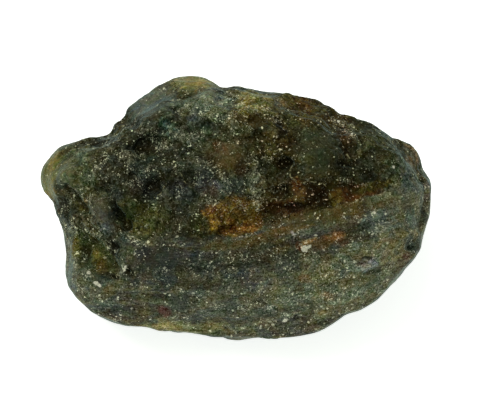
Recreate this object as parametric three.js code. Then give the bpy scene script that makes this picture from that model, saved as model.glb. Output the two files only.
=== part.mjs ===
// A rough tanzanite: one water-worn crystal fragment that lies on a natural cleavage face.
// Millimetres, +Z up, origin at the middle of the bounding box's underside.
//
// The stone is drawn in a plane of its own, the outline plane, which is tilted back from the
// horizontal. In it u runs to the right, v up the slope, and w straight out of it. OUTLINE is the
// stone's edge in that plane. A front skin stands out of the plane (+w) and a back skin stands
// behind it (-w). Each skin is a set of flattish worn faces blended together, and the two meet in
// the outline. Ledges, hollows, clefts and lumps are then worked into the front skin, and chip
// scars and gentle waves into the whole stone.
import * as THREE from 'three';
import { mergeVertices } from 'three/addons/utils/BufferGeometryUtils.js';
import { ImprovedNoise } from 'three/addons/math/ImprovedNoise.js';

// --- driving dimensions -------------------------------------------------------------------------
const OUTLINE_TILT_DEG = 30; // outline plane against the horizontal
const REST_HEIGHT = 6.0; // the outline plane's origin above the surface that the stone rests on
const MESH_DETAIL = 19; // 20 * (detail + 1)^2 triangles
const SEAM = -0.38; // where on the unit ball the two skins meet: below 0 gives the front more faces

// The stone's edge in the outline plane, anticlockwise from the right end.
const OUTLINE = [
  [15.05, 0.9], [15.0, 1.9], [14.35, 2.9], [14.15, 3.7], [13.55, 4.55], [12.7, 5.0], // right end
  [11.85, 5.4], [11.0, 6.05], [9.5, 6.45], [7.95, 6.7], [6.75, 7.25], [5.55, 8.0], // right shoulder
  [4.15, 8.65], [2.3, 8.85], [0.6, 9.1], [-0.9, 9.1], [-1.75, 9.65], [-2.55, 10.1], // saddle
  [-3.8, 10.25], [-5.1, 10.0], [-6.5, 9.2], [-7.5, 8.2], [-8.55, 7.55], [-8.8, 6.75], // top hump
  [-9.5, 6.55], [-9.7, 5.95], [-10.5, 5.45], [-12.4, 5.05], [-13.85, 4.75], [-14.65, 3.8], // neck
  [-15.2, 2.85], [-15.2, 1.9], [-14.8, 0.95], [-14.3, 0.5], [-13.95, -0.45], [-13.4, -1.95], // knob
  [-13.1, -3.8], [-13.2, -5.2], [-12.8, -6.45], [-11.8, -7.45], [-10.5, -8.4], // left end
  [-8.6, -9.1], [-6.6, -9.12], [-4.4, -9.6], [-2.0, -10.05], [-0.5, -9.95], [2.3, -9.95], // foot
  [4.95, -9.7], [6.45, -9.35], [7.6, -8.75], [8.5, -8.1], [9.55, -7.75], [10.7, -7.0], // right toe
  [12.0, -5.85], [13.05, -4.7], [14.05, -3.55], [14.45, -2.3], [15.0, -0.55], // right flank
];
// Towards the middle the edge's own bumps die out, and the section is this plain oval.
const OVAL = { halfLength: 14.6, halfWidth: 9.7, turnDeg: -7 };
const BUMPS_FADE = 3; // how fast they die out inwards

// Where the two skins meet, out of the outline plane.
const EDGE_HEIGHT = { level: -1.6, alongU: 0.05, alongV: -0.35 };

// Worn faces: a plane through [u, v, w] that rises by slope[0] along u and slope[1] along v.
const FRONT_FACES = [
  { name: 'broken top', at: [-1, 3, 5.7], slope: [0.02, -0.34] },
  { name: 'grooved prism face', at: [3, -1.8, 7.0], slope: [-0.07, 0.38] },
  { name: 'left end', at: [-9, 0, 5.6], slope: [0.36, -0.1] },
  { name: 'right end', at: [10, 1, 5.4], slope: [-0.55, -0.1] },
  { name: 'right shoulder', at: [7, 5.4, 4.2], slope: [-0.3, -0.85] },
  { name: 'hump shoulder', at: [-7.4, 6.6, 4.0], slope: [0.5, -0.6] },
  { name: 'left toe', at: [-9.5, -6, 5.0], slope: [0.35, 0.8] },
  { name: 'right toe', at: [8.8, -5.8, 5.0], slope: [-0.55, 0.65] },
  { name: 'foot', at: [0, -7.6, 5.2], slope: [0, 1.2] },
];
const BACK_FACES = [
  { name: 'cleavage underside', at: [0, 0, -7.25], slope: [0.01, -0.577] },
  { name: 'far wall', at: [-2, 7.4, -9.6], slope: [-0.18, 1.15] },
  { name: 'far right wall', at: [8, 4.6, -8.0], slope: [0.75, 0.3] },
  { name: 'left underside', at: [-9.5, -2, -5.2], slope: [-0.6, -0.5] },
  { name: 'right underside', at: [9, -1.5, -4.9], slope: [0.5, -0.45] },
  { name: 'front underside', at: [3, -7.2, -2.6], slope: [0.1, -1.25] },
  { name: 'far left wall', at: [-9, 4.2, -8.0], slope: [-0.5, 0.45] },
];
const FRONT_BLEND = 1.1; // how widely two front faces round into each other
const BACK_BLEND = 1.0;
const FRONT_SWELL = 13; // depth at which the front skin would close if it had no faces
const BACK_SWELL = 11;

// --- relief of the front skin, all in outline coordinates ----------------------------------------
// A ledge: the ground on the left of its line, walking along it, drops and climbs back over reach.
const LEDGES = [
  { name: 'lip of the long trough', drop: 1.15, reach: 1.5, edge: 0.35,
    line: [[-3.2, -2.35], [-0.6, -2.2], [2.0, -1.25], [5.0, -0.65], [8.8, 0.35], [12.2, 1.5]] },
  { name: 'scarp above the trough', drop: -0.45, reach: 1.2, edge: 0.4,
    line: [[-2.8, -0.6], [0.2, 0.2], [2.4, 1.15], [4.2, 1.75], [7.4, 1.7], [10.2, 2.0]] },
  { name: 'step across the broken top', drop: 0.45, reach: 1.6, edge: 0.4,
    line: [[4.9, 1.6], [4.1, 3.5], [5.0, 5.2], [4.4, 6.8]] },
  { name: 'left shelf', drop: 0.6, reach: 1.4, edge: 0.4,
    line: [[-5.4, -2.6], [-6.4, -1.0], [-5.6, 0.8], [-6.4, 2.6], [-5.2, 4.2]] },
  { name: 'step behind the knob', drop: -0.5, reach: 1.3, edge: 0.4,
    line: [[-12.9, 1.2], [-11.6, 2.6], [-10.6, 4.2], [-10.2, 5.2]] },
  { name: 'step on the right end', drop: 0.4, reach: 1.0, edge: 0.35,
    line: [[9.2, 5.6], [10.6, 4.4], [12.2, 3.8], [13.4, 3.4]] },
];
// A hollow: an oval dip turned by turnDeg, with a floor and a wall.
const HOLLOWS = [
  { name: 'broken pocket', at: [-10.5, -3.9], size: [2.5, 1.35], turnDeg: -34, depth: 1.5 },
  { name: 'pit on the right end', at: [13.3, -2.9], size: [0.75, 0.75], turnDeg: 0, depth: 0.6 },
  { name: 'dip above the pocket', at: [-8.1, -1.0], size: [1.4, 0.8], turnDeg: -55, depth: 0.5 },
  { name: 'dip in the broken top', at: [-6.4, 4.2], size: [1.9, 1.2], turnDeg: 20, depth: 0.5 },
  { name: 'scar on the right toe', at: [10.0, -4.7], size: [1.0, 0.6], turnDeg: 25, depth: 0.15 },
  { name: 'dip behind the scarp', at: [3.2, 3.0], size: [1.2, 0.9], turnDeg: -60, depth: 0.45 },
];
// A cleft: a narrow groove along its line.
const CLEFTS = [
  { name: 'cleft by the grey lens', width: 0.6, depth: 0.45,
    line: [[-9.9, 1.7], [-9.3, 0.3], [-8.9, -0.8], [-8.1, -1.9]] },
  { name: 'cleft under the knob', width: 0.6, depth: 0.4,
    line: [[-13.5, 1.8], [-12.4, 0.9], [-11.7, 0.1], [-11.2, -0.9]] },
  { name: 'seam of the right slab', width: 0.6, depth: 0.8,
    line: [[14.1, 2.7], [14.3, 1.4], [14.35, 0.0], [14.0, -1.2], [13.6, -2.3]] },
  { name: 'upper furrow', width: 0.8, depth: 0.28,
    line: [[-6.0, -2.6], [-1.6, -2.8], [2.4, -2.3], [7.2, -0.9], [12.0, 0.5]] },
  { name: 'lower furrow', width: 0.9, depth: 0.3,
    line: [[-7.2, -4.4], [-2.0, -4.6], [3.4, -4.0], [8.4, -2.8], [12.4, -1.6]] },
];
// A lump: an oval swelling.
const LUMPS = [
  { name: 'knob', at: [-13.6, 2.5], size: [2.0, 2.1], turnDeg: 0, height: 1.1 },
  { name: 'glassy hump', at: [-6.6, 7.3], size: [2.6, 2.0], turnDeg: 30, height: 0.8 },
  { name: 'grey lens', at: [-10.3, -0.4], size: [1.9, 0.9], turnDeg: -62, height: 0.55 },
  { name: 'smooth boss', at: [6.6, 4.3], size: [2.2, 1.6], turnDeg: -20, height: 0.55 },
  { name: 'brown boss', at: [0.6, 3.4], size: [1.5, 1.7], turnDeg: 10, height: 0.4 },
  { name: 'belly of the grooved face', at: [1.5, -6.4], size: [7.0, 2.4], turnDeg: 6, height: 0.5 },
];
const EDGE_FADE = 0.22; // share of the skin's rise over which relief fades in from the outline

// --- relief of the whole stone --------------------------------------------------------------------
// Chip scars are shallow dishes that meet in ridges. They are strong on the broken top and the
// back, and faint on the grooved prism face, whose skin is worn smooth.
const CHIPS = { size: 2.9, depth: 0.42, smoothShare: 0.2 };
const WAVES = { size: 5.5, height: 0.35 };
const EDGE_SHARE = 0.3; // how much of both is left in the outline itself
const RIPPLES = { across: 1.25, along: 9, height: 0.16 }; // growth ribs of the prism face

// --- helpers ------------------------------------------------------------------------------------
const noise = new ImprovedNoise();
const { smoothstep, degToRad, lerp } = THREE.MathUtils;

function softMin(a, b, width) {
  const share = Math.max(width - Math.abs(a - b), 0) / width;
  return Math.min(a, b) - (share * share * width) / 4;
}

function planeHeight({ at, slope }, u, v) {
  return at[2] + slope[0] * (u - at[0]) + slope[1] * (v - at[1]);
}

// How far (u, v) lies from a line of points, on which side, and how far along the line.
function nearestOnLine(line, u, v) {
  let best = { distance: Infinity };
  for (let i = 0; i + 1 < line.length; i++) {
    const [au, av] = line[i];
    const [du, dv] = [line[i + 1][0] - au, line[i + 1][1] - av];
    const share = ((u - au) * du + (v - av) * dv) / (du * du + dv * dv);
    const t = Math.min(Math.max(share, 0), 1);
    const distance = Math.hypot(u - au - t * du, v - av - t * dv);
    if (distance < best.distance) {
      const side = Math.sign(du * (v - av) - dv * (u - au)) || 1;
      best = { distance, side, along: (i + t) / (line.length - 1) };
    }
  }
  return best;
}

function taper(along) {
  return smoothstep(along, 0, 0.18) * (1 - smoothstep(along, 0.82, 1));
}

// 0 at the middle of a turned oval, 1 at its edge.
function ovalRadius({ at, size, turnDeg }, u, v) {
  const turn = degToRad(turnDeg);
  const [du, dv] = [u - at[0], v - at[1]];
  return Math.hypot(
    (du * Math.cos(turn) + dv * Math.sin(turn)) / size[0],
    (dv * Math.cos(turn) - du * Math.sin(turn)) / size[1]);
}

// A repeatable number from 0 to 1 for a cell of a grid and a channel.
function cellNumber(i, j, k, channel) {
  const mixed = Math.sin(i * 127.1 + j * 311.7 + k * 74.7 + channel * 53.3) * 43758.5453;
  return mixed - Math.floor(mixed);
}

// Dishes around scattered centres, one to a cell: 0 in a dish's middle, about 1 on a ridge.
function chipRelief(point, size) {
  const [x, y, z] = [point.x / size, point.y / size, point.z / size];
  const [i0, j0, k0] = [Math.floor(x), Math.floor(y), Math.floor(z)];
  let lowest = Infinity;
  for (let i = i0 - 1; i <= i0 + 1; i++) {
    for (let j = j0 - 1; j <= j0 + 1; j++) {
      for (let k = k0 - 1; k <= k0 + 1; k++) {
        const dx = x - i - cellNumber(i, j, k, 0);
        const dy = y - j - cellNumber(i, j, k, 1);
        const dz = z - k - cellNumber(i, j, k, 2);
        const dish = dx * dx + dy * dy + dz * dz + 0.5 * cellNumber(i, j, k, 3);
        lowest = Math.min(lowest, dish);
      }
    }
  }
  return lowest;
}

// --- base form ----------------------------------------------------------------------------------
const outline = new THREE.CatmullRomCurve3(
  OUTLINE.map(([u, v]) => new THREE.Vector3(u, v, 0)), true, 'centripetal');
outline.arcLengthDivisions = 2000;

function ovalPoint(angle) {
  const turn = degToRad(OVAL.turnDeg);
  const [c, s] = [Math.cos(angle - turn), Math.sin(angle - turn)];
  const reach = 1 / Math.hypot(c / OVAL.halfLength, s / OVAL.halfWidth);
  return new THREE.Vector3(reach * Math.cos(angle), reach * Math.sin(angle), 0);
}

function edgeHeight(u, v) {
  return EDGE_HEIGHT.level + EDGE_HEIGHT.alongU * u + EDGE_HEIGHT.alongV * v;
}

// How much of the surface at (u, v) is the smooth grooved face: 1 below the trough's lip.
function grooved(u, v) {
  const lip = -2.3 + 0.0145 * Math.max(u + 3, 0) ** 2;
  return 1 - smoothstep(v, lip - 0.4, lip + 0.5);
}

function frontRelief(u, v) {
  let height = 0;
  for (const { line, drop, reach, edge } of LEDGES) {
    const near = nearestOnLine(line, u, v);
    const past = near.distance * near.side;
    const fall = smoothstep(past, -edge, edge) * Math.exp(-Math.max(past, 0) / reach);
    height -= drop * fall * taper(near.along);
  }
  for (const { line, width, depth } of CLEFTS) {
    const near = nearestOnLine(line, u, v);
    height -= depth * Math.exp(-((near.distance / width) ** 2)) * taper(near.along);
  }
  for (const hollow of HOLLOWS) {
    height -= hollow.depth * (1 - smoothstep(ovalRadius(hollow, u, v), 0.45, 1.1));
  }
  for (const lump of LUMPS) {
    const inside = Math.max(1 - ovalRadius(lump, u, v) ** 2, 0);
    height += lump.height * inside ** 1.5;
  }
  const across = (v - 0.0145 * Math.max(u + 3, 0) ** 2) / RIPPLES.across;
  height += RIPPLES.height * grooved(u, v) * noise.noise(across * 1.7, u / RIPPLES.along, 4.2) * 2;
  return height;
}

// Which skin a point of the unit ball is on, and its rise: 0 in the outline, 1 in the middle.
function skinRise(ball) {
  const isFront = ball.z >= SEAM;
  return { isFront, rise: isFront ? (ball.z - SEAM) / (1 - SEAM) : (SEAM - ball.z) / (1 + SEAM) };
}

// A point of the unit ball becomes a point of the stone, in outline coordinates.
function carvedForm(ball) {
  const { isFront, rise } = skinRise(ball);
  const spread = Math.sqrt(Math.max(0, 1 - rise * rise));
  const turn = Math.atan2(ball.y, ball.x) / (2 * Math.PI);
  const edge = outline.getPointAt((turn + 1) % 1);
  const plain = ovalPoint(Math.atan2(edge.y, edge.x));
  const flat = plain.lerp(edge, spread ** BUMPS_FADE).multiplyScalar(spread);
  const middle = edgeHeight(flat.x, flat.y);
  let depth = rise * (isFront ? FRONT_SWELL : BACK_SWELL);
  for (const face of isFront ? FRONT_FACES : BACK_FACES) {
    const toFace = (isFront ? 1 : -1) * (planeHeight(face, flat.x, flat.y) - middle);
    depth = softMin(depth, toFace, isFront ? FRONT_BLEND : BACK_BLEND);
  }
  depth = Math.max(depth, 0);
  if (isFront) depth += frontRelief(flat.x, flat.y) * smoothstep(rise, 0, EDGE_FADE);
  return new THREE.Vector3(flat.x, flat.y, middle + (isFront ? 1 : -1) * depth);
}

// --- the stone ----------------------------------------------------------------------------------
function ballGeometry() {
  const ball = new THREE.IcosahedronGeometry(1, MESH_DETAIL);
  ball.deleteAttribute('normal');
  ball.deleteAttribute('uv');
  return mergeVertices(ball, 1e-5);
}

function eachVertex(geometry, move) {
  const position = geometry.getAttribute('position');
  const point = new THREE.Vector3();
  for (let i = 0; i < position.count; i++) {
    point.fromBufferAttribute(position, i);
    const moved = move(point, i);
    position.setXYZ(i, moved.x, moved.y, moved.z);
  }
}

// Chip scars and waves, along the surface's own normals, and weaker beside the outline.
function roughen(geometry, rises) {
  geometry.computeVertexNormals();
  const normals = geometry.getAttribute('normal').clone();
  const normal = new THREE.Vector3();
  eachVertex(geometry, (p, i) => {
    normal.fromBufferAttribute(normals, i);
    const front = smoothstep(normal.z, -0.1, 0.4);
    const worn = lerp(1, CHIPS.smoothShare, front * grooved(p.x, p.y));
    const chips = CHIPS.depth * worn * (chipRelief(p, CHIPS.size) - 0.55) * 2;
    const { size, height } = WAVES;
    const waves = height * noise.noise(p.x / size, p.y / size, p.z / size) * 2;
    const share = lerp(EDGE_SHARE, 1, smoothstep(rises[i], 0, EDGE_FADE));
    return p.clone().addScaledVector(normal, (chips + waves) * share);
  });
}

function stoneGeometry() {
  const stone = ballGeometry();
  const rises = [];
  eachVertex(stone, (ball, i) => {
    rises[i] = skinRise(ball).rise;
    return carvedForm(ball);
  });
  roughen(stone, rises);
  // Out of the outline plane into the stone's own frame, then flat where it rests.
  stone.rotateX(degToRad(OUTLINE_TILT_DEG));
  stone.translate(0, 0, REST_HEIGHT);
  eachVertex(stone, (p) => p.clone().setZ(Math.max(p.z, 0)));
  stone.computeBoundingBox();
  const middle = stone.boundingBox.getCenter(new THREE.Vector3());
  stone.translate(-middle.x, -middle.y, 0);
  stone.computeVertexNormals();
  return stone;
}

const stoneMaterial = new THREE.MeshStandardMaterial({
  color: 0x3c3b30, roughness: 0.35, metalness: 0,
});
const stone = new THREE.Mesh(stoneGeometry(), stoneMaterial);
stone.name = 'rough_crystal';

const part = new THREE.Group();
part.add(stone);
export default part;
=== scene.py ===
"""A rough tanzanite on a white ground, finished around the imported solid.

The solid is refined and given its fine relief here: the granular break, the ribs, pits and
cracks. Its material is procedural. Places on the stone are given in the stone's outline plane,
in millimetres: u to the right, v up the slope and w out of it, from the middle of the outline.
"""
import math

import bmesh
import bpy
import numpy as np
from mathutils import Matrix, Vector


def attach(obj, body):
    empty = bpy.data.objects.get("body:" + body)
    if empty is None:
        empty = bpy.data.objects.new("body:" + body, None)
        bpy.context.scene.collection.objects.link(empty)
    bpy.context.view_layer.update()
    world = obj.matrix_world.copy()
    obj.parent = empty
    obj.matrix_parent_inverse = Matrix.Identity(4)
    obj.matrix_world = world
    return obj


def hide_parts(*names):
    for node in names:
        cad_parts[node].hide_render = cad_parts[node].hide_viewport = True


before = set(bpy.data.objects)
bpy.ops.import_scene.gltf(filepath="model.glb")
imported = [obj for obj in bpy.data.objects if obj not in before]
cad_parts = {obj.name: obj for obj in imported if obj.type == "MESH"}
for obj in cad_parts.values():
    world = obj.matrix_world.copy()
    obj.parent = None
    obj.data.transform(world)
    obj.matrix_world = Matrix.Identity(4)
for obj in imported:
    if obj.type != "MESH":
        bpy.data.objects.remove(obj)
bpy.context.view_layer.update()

NODE = "rough_crystal"
MM = 0.001

# --- the outline plane ---------------------------------------------------------------------------
VIEW_ELEVATION = math.radians(60)
U_AXIS = np.array((1.0, 0.0, 0.0))
V_AXIS = np.array((0.0, math.sin(VIEW_ELEVATION), math.cos(VIEW_ELEVATION)))
W_AXIS = np.array((0.0, -math.cos(VIEW_ELEVATION), math.sin(VIEW_ELEVATION)))
AXES = np.stack((U_AXIS, V_AXIS, W_AXIS))
REST_HEIGHT = 6.0 * MM  # the plane's origin above the ground

# --- the camera ----------------------------------------------------------------------------------
LENS = 190.0  # mm
SENSOR = 36.0  # mm
FIELD_WIDTH = 38.46 * MM  # what the frame takes in across the stone
AIM = (1.115, 0.038)  # u, v that the camera looks at, mm
CAMERA_DISTANCE = LENS * FIELD_WIDTH / SENSOR
NEAREST = 0.01  # m, what the camera shows at all
FARTHEST = 10.0

# --- the studio, in metres and linear colours ----------------------------------------------------
GROUND_HALF = 1.5
GROUND_COLOUR = (0.93, 0.94, 0.94, 1)
GROUND_GLOW = (0.97, 1.0, 1.0, 1)  # keeps the ground white up to the stone's shadow
GLOW_STRENGTH = 0.8
SKY_LOW = (0.36, 0.38, 0.36, 1)
SKY_HIGH = (0.32, 0.33, 0.28, 1)
SKY_BAND = 0.2  # how far above and below the horizon one turns into the other, as a height of 1
KEY_DIRECTION = (-0.5, 0.45, 1.0)
KEY_DISTANCE = 0.6
KEY_SIZE = 0.5
KEY_POWER = 2.1  # W
KEY_COLOUR = (1.0, 0.98, 0.92)

# --- relief, in millimetres ----------------------------------------------------------------------
SUBDIVISIONS = 2
CAGE_FITS = 2  # how often the cage is swelled, so that its rounded form matches the solid
RIB_START = -3.0  # the ribs run level up to this u, then bend upwards
RIB_BEND = 5.0  # how far they take to bend
RIB_SLOPE = 0.27
RIBS = [  # one rib's height, length, spacing and depth, and noise channel
    (0.085, 8.0, 0.75, 6.0, 2),
    (0.05, 3.2, 0.30, 3.0, 3),
]
FLAT_RIBS = 0.2  # how much of the ribs shows on the break as well
LIP = [(-16, -2.6), (-8, -2.5), (-3.2, -2.35), (0.9, -2.2), (2.0, -1.35), (5.0, -0.65),
       (8.8, 0.35), (12.2, 1.4), (16, 2.3)]  # the trough's lip: worn ribs below it, the break above
LIP_EDGE = (-0.2, 0.15)  # v past the lip between which the ribs end
CRACKS = [  # width, depth, line
    (0.22, 0.30, [(-9.6, 1.2), (-9.3, 0.2), (-8.8, -0.9), (-8.3, -1.5)]),
    (0.20, 0.28, [(-13.0, 1.5), (-12.3, 0.9), (-11.6, 0.0), (-11.2, -0.7)]),
    (0.16, 0.18, [(14.2, 2.5), (14.55, 1.3), (14.65, 0.2), (14.4, -0.8), (14.1, -1.8)]),
    (0.12, 0.15, [(7.2, 3.3), (8.6, 3.3), (10.1, 3.75)]),
    (0.14, 0.14, [(-5.2, -1.6), (-4.0, 0.4), (-2.6, 1.2), (-2.2, 2.9)]),
    (0.16, 0.16, [(-7.4, 5.6), (-6.0, 5.0), (-4.5, 5.5), (-2.9, 5.0)]),
    (0.18, 0.16, [(1.6, 5.6), (2.2, 4.2), (1.9, 2.6), (2.6, 1.6)]),
]
BLOCKS = [  # the break's blocks, mm: size, step between neighbours, crack, noise channel
    (1.9, 0.24, 0.10, 80),
    (0.95, 0.18, 0.08, 10),
    (0.42, 0.09, 0.04, 20),
]
BLOCK_SLOPE = 0.35  # how far in from its border a block is sloped, as a share of its size
BLOCK_GAP = 0.16  # how wide the crack between blocks is, as a share of their size
BLOCK_WARP = (0.35, 0.9, 40)  # how far noise bends the blocks' borders, its size and channel
WANDERS = {  # noise that shapes or bends a thing: how far, the noise's size and channel
    "swell": (0.12, 1.4, 1),
    "ribs": (0.12, 2.2, 50),
    "rib grain": (0.03, 0.42, 4),
    "cracks": (0.09, 0.8, 60),
    "lip": (0.15, 0.7, 61),
    "crusts": (0.25, 0.6, 62),
    "dimples": (0.35, 0.5, 63),
    "threads": (0.12, 0.4, 64),
}
PIT_CELL = 0.9
PIT_SHARE = 0.22  # of the cells have a pit
PIT_RADIUS = 0.16  # the smallest pit's, and how much wider the widest is
PIT_DEPTH = 0.13
PIT_FLOOR = 0.4  # how much of a pit's radius is flat floor
PIT_CHANNEL = 30
SMOOTH_PITS = 0.4  # how deep pits are where the break isn't rough, as a share
CRUSTS = [  # where pale crumbs crowd: half width, how densely, line
    (0.50, 0.8, [(-3.9, 7.6), (-1.8, 7.2), (0.0, 6.7)]),
    (0.45, 0.7, [(-4.9, 5.5), (-2.6, 5.5)]),
    (0.45, 0.9, [(-9.6, 4.5), (-8.3, 3.7)]),
    (0.30, 0.7, [(-5.7, 4.9), (-5.8, 4.2)]),
    (0.12, 0.9, [(-11.4, 2.0), (-8.7, 2.65)]),
    (0.30, 0.7, [(-11.2, 2.4), (-10.0, 4.5), (-9.8, 5.3)]),
    (0.50, 0.8, [(-12.9, 1.4), (-11.2, 0.7)]),
    (0.12, 0.7, [(-5.9, 0.75), (-5.2, 2.0)]),
    (0.35, 0.7, [(-3.1, 3.7), (-1.2, 2.7), (-0.6, 1.7)]),
    (0.45, 0.8, [(-1.3, 7.0), (0.1, 6.0), (0.0, 5.0)]),
    (0.50, 0.7, [(-0.4, 8.6), (1.3, 7.6)]),
    (0.30, 0.8, [(2.1, 7.6), (3.3, 6.7)]),
    (0.40, 0.8, [(0.1, 6.8), (0.9, 6.0)]),
    (0.35, 0.8, [(2.5, 4.2), (3.8, 3.7)]),
    (0.50, 0.9, [(1.2, 3.7), (1.4, 1.8), (1.9, -0.2)]),
    (0.60, 0.6, [(7.8, 6.6), (9.3, 5.5)]),
    (0.22, 0.6, [(8.0, 2.1), (10.2, 1.65)]),
    (0.16, 1.0, [(-8.3, -2.2), (-7.0, -2.8)]),
    (0.35, 1.0, [(-12.2, -4.6), (-11.2, -5.3)]),
    (0.30, 0.9, [(-9.3, -5.4), (-8.6, -4.9)]),
    (0.14, 0.9, [(-10.4, -2.3), (-9.5, -3.5), (-8.6, -4.5)]),
    (0.70, 0.8, [(-12.7, -1.5), (-11.0, -2.0)]),
    (0.25, 0.9, [(-9.6, -5.2), (-8.2, -5.3)]),
    (0.25, 0.9, [(0.2, 0.4), (1.1, -0.4)]),
    (0.08, 0.6, [(-6.6, -3.0), (-3.9, -3.0)]),
    (0.08, 0.6, [(-5.4, -3.6), (-4.7, -4.7)]),
    (0.30, 0.8, [(-2.2, -4.7), (0.3, -5.0)]),
    (0.40, 0.9, [(-2.0, -7.4), (0.3, -8.2)]),
    (0.50, 0.7, [(2.7, -3.7), (3.8, -4.7)]),
    (0.40, 0.8, [(5.2, -4.1), (6.7, -5.0)]),
    (0.70, 0.7, [(6.7, -5.2), (9.3, -6.3)]),
    (0.90, 0.7, [(4.3, -7.0), (8.0, -7.2)]),
    (0.90, 0.6, [(0.9, -7.5), (4.7, -8.8)]),
]
THREADS = [  # thin pale lines
    [(4.0, 3.3), (4.15, 2.6), (4.4, 2.0), (4.75, 1.7), (5.7, 1.9), (6.7, 1.75), (7.1, 1.4), (7.35, 0.6)],
    [(10.1, 1.6), (9.9, 1.0), (9.3, 0.4), (8.4, 0.0)],
    [(8.65, 4.1), (8.9, 3.75)],
    [(-1.3, 3.2), (-1.1, 2.4)],
    [(-4.2, 2.6), (-3.8, 1.9)],
    [(-6.2, 0.7), (-5.3, 1.8)],
    [(2.4, 0.2), (2.9, 0.65), (3.5, 0.6)],
    [(-0.7, -0.6), (0.2, 0.3), (0.3, 0.7)],
    [(6.1, -4.0), (6.8, -4.9)],
    [(-8.3, -2.2), (-7.7, -2.45), (-7.0, -2.8)],
    [(5.0, -5.3), (5.9, -4.4)],
    [(4.9, -3.0), (5.6, -2.6), (6.2, -2.4)],
]
THREAD_WIDTH = 0.08
DIMPLES = [  # small hollows: u, v, half sizes, turn, depth
    (-5.3, 6.5, 0.40, 0.30, 0, 0.30), (-5.6, 5.9, 0.60, 0.40, 20, 0.30),
    (-4.4, 6.3, 0.45, 0.30, 0, 0.30), (-7.0, 4.7, 1.20, 0.80, 10, 0.30),
    (-6.3, 1.5, 1.00, 0.80, 0, 0.30), (-2.1, 6.3, 0.60, 0.40, -20, 0.25),
    (-3.4, 2.2, 0.90, 0.60, 30, 0.25), (-8.2, 2.2, 0.80, 0.50, -20, 0.25),
    (3.8, 3.4, 0.60, 0.50, 0, 0.40), (1.7, 6.8, 0.80, 0.55, 10, 0.25),
    (2.0, 3.7, 0.50, 0.40, 0, 0.25), (3.4, 1.3, 0.90, 0.70, 0, 0.25),
    (9.0, 3.2, 1.20, 0.25, -12, 0.25), (4.0, -0.1, 1.70, 0.45, 6, 0.25),
    (6.5, 0.7, 0.60, 0.50, 0, 0.20), (-11.4, -3.5, 0.35, 0.60, -20, 0.20),
    (-9.4, -5.4, 0.80, 0.20, -8, 0.25), (-8.3, -5.0, 0.30, 0.30, 0, 0.30),
    (-11.9, -1.7, 0.60, 0.50, 0, 0.25), (-9.3, -3.1, 0.50, 0.70, 30, 0.30),
    (13.4, -3.2, 0.35, 0.30, 0, 0.15), (2.2, -7.4, 0.30, 0.20, 20, 0.20),
    (4.7, -8.5, 0.30, 0.25, 0, 0.20), (1.9, -7.3, 0.35, 0.20, 0, 0.20),
    (9.6, -4.35, 0.50, 0.20, 15, 0.20), (4.6, -2.6, 0.25, 0.45, 0, 0.25),
]
DIMPLE_EDGE = (0.3, 1.15)  # radii between which a dimple's side rises
SMOOTH_SPOTS = [  # where the break is worn smooth: u, v, half sizes, turn, how smooth
    (-6.6, 8.2, 1.9, 1.3, 40, 0.85),
    (-13.6, 2.4, 1.5, 1.9, 0, 0.75),
    (6.5, 4.2, 1.7, 1.9, 10, 0.65),
    (-0.4, 3.8, 1.3, 1.3, 0, 0.7),
    (1.8, 6.5, 0.7, 0.7, 0, 0.6),
    (7.4, 2.8, 2.4, 0.5, 8, 0.7),
    (6.2, 0.9, 2.2, 0.8, 8, 0.6),
    (8.9, 0.95, 1.8, 0.5, 5, 0.6),
    (-10.2, -0.4, 0.7, 1.3, 28, 0.7),
    (6.5, -0.9, 5.0, 0.6, 13, 0.6),
    (-6.2, -4.0, 2.2, 0.9, 0, 0.7),
    (-2.9, 9.4, 1.8, 0.9, -10, 0.7),
]
SMOOTH_EDGE = (0.6, 1.2)  # radii between which a smooth place fades
POCKET = (-10.6, -3.9, 2.3, 1.5, -34)  # the broken pocket: u, v, half sizes, turn
POCKET_EDGE = (0.7, 1.2)
POCKET_GRAIN = 0.9  # how much of the break's grain the pocket has
FRONT = (-0.2, 0.3)  # how far a face leans to the viewer where the front begins and is reached
EDGE_CALM = 0.8  # how much of the relief is lost where the stone turns away
EDGE_WIDTH = 0.3

# --- colours, as the eye sees them (sRGB, 0 to 255) -----------------------------------------------
CHARCOAL = (42, 44, 34)
OLIVE = (66, 60, 32)
MOSS = (52, 54, 26)
GREY_GREEN = (80, 82, 60)
VIOLET_GREY = (64, 63, 55)
PALE = (238, 238, 218)
DUST = (134, 138, 116)
VEIN = (178, 174, 130)
# the white fleck's colour, and that of the painted glints
FLECK_AND_GLINT_WHITE = (240, 239, 218)
FLECK_AND_GLINT_GREY = (176, 176, 158)

# --- light and gloss, linear ---------------------------------------------------------------------
WHITE = (1.0, 1.0, 1.0, 1.0)
WARM = (1.20, 1.0, 0.72, 1.0)  # what a colour is multiplied by where it leans to brown
COOL = (0.86, 1.0, 1.14, 1.0)
LEAF = (0.94, 1.06, 0.92, 1.0)
ROSE = (1.05, 0.96, 1.06, 1.0)
BROWN_GLEAM = (1.0, 0.8, 0.3, 1.0)
TEAL_SHEEN = (0.62, 1.0, 0.95, 1.0)
GAIN = 1.355  # a colour's albedo over what the eye sees in this light
BLACKEST = 0.001  # the least that mottling leaves of a colour
GLOSS = (0.18, 0.5)  # the roughness of the glossiest and the dullest facets
REFRACTION = 1.4
SPECULAR = 0.15
SHEEN = (0.03, 0.3)  # in the middle and where the stone turns away
SHEEN_ROUGHNESS = 0.3
BUMP = 0.8  # how much the grain tilts the light
BUMP_HEIGHT = 0.06 * MM
FLAKE_TILT = (0.5, 0.1)  # how far flakes tilt on the break and where it is smooth

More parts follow.
